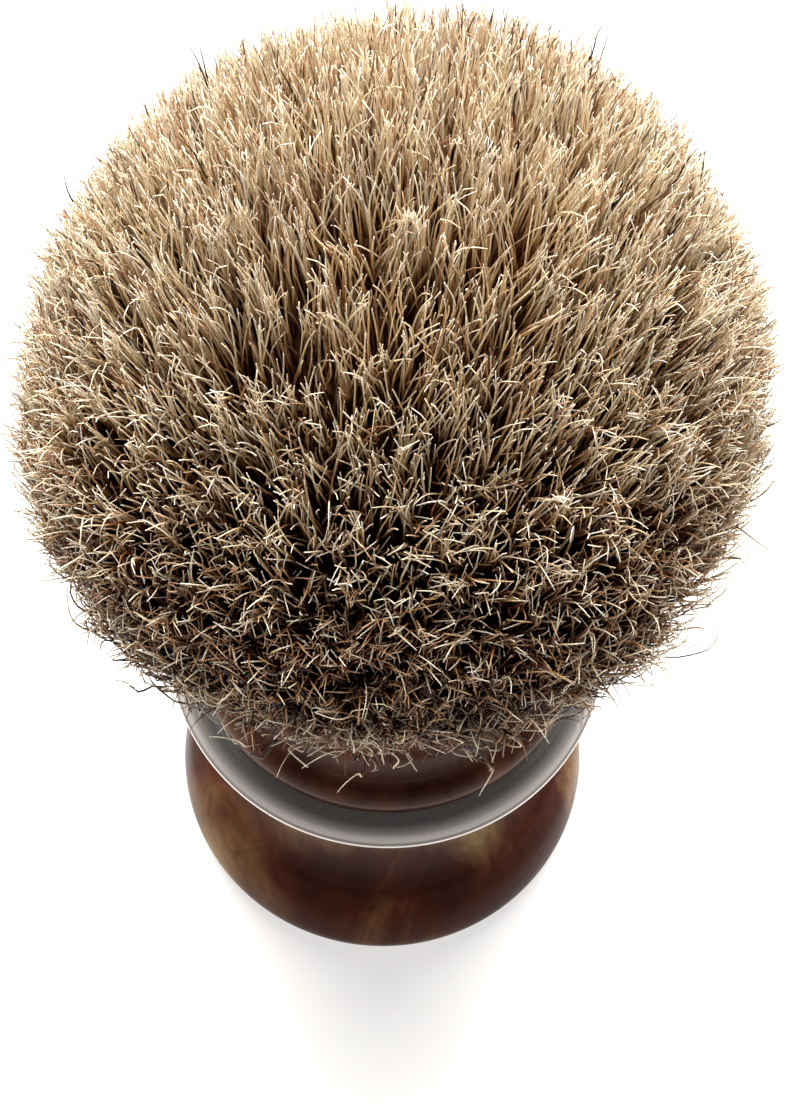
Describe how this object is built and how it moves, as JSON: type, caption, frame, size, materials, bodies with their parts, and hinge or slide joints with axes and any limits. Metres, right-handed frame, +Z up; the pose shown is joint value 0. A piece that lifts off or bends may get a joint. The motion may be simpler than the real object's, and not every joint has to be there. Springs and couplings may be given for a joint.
{
  "type": "shaving brush",
  "caption": "Shaving brush with a dense bulb-shaped badger hair knot set in a turned horn-look resin handle with a flared foot and a polished metal ring.",
  "frame": {"origin": "centre of the flat underside of the foot, where the brush stands", "axes": "+Z up along the turned axis, from the foot to the tips of the hair; -Y is the side that faces the viewer"},
  "size_m": [0.051, 0.051, 0.1079],
  "materials": {
    "foot_resin": "polished marbled horn-look resin, brown with golden clouds",
    "ring_steel": "polished",
    "collar_resin": "polished dark horn-look resin",
    "stud_zinc": "zinc plated",
    "set_adhesive": "set epoxy, translucent amber",
    "plug_epoxy": "cast black epoxy",
    "binding_thread": "waxed thread",
    "badger_hair": "banded badger hair: cream tips, dark band, grey-beige roots"
  },
  "bodies": {
    "root": {"handle_foot": "foot_resin", "metal_ring": "ring_steel", "handle_collar": "collar_resin", "joining_stud": "stud_zinc", "knot_glue": "set_adhesive", "knot_plug": "plug_epoxy", "knot_binding": "binding_thread", "knot_hair": "badger_hair"}
  },
  "joints": []
}
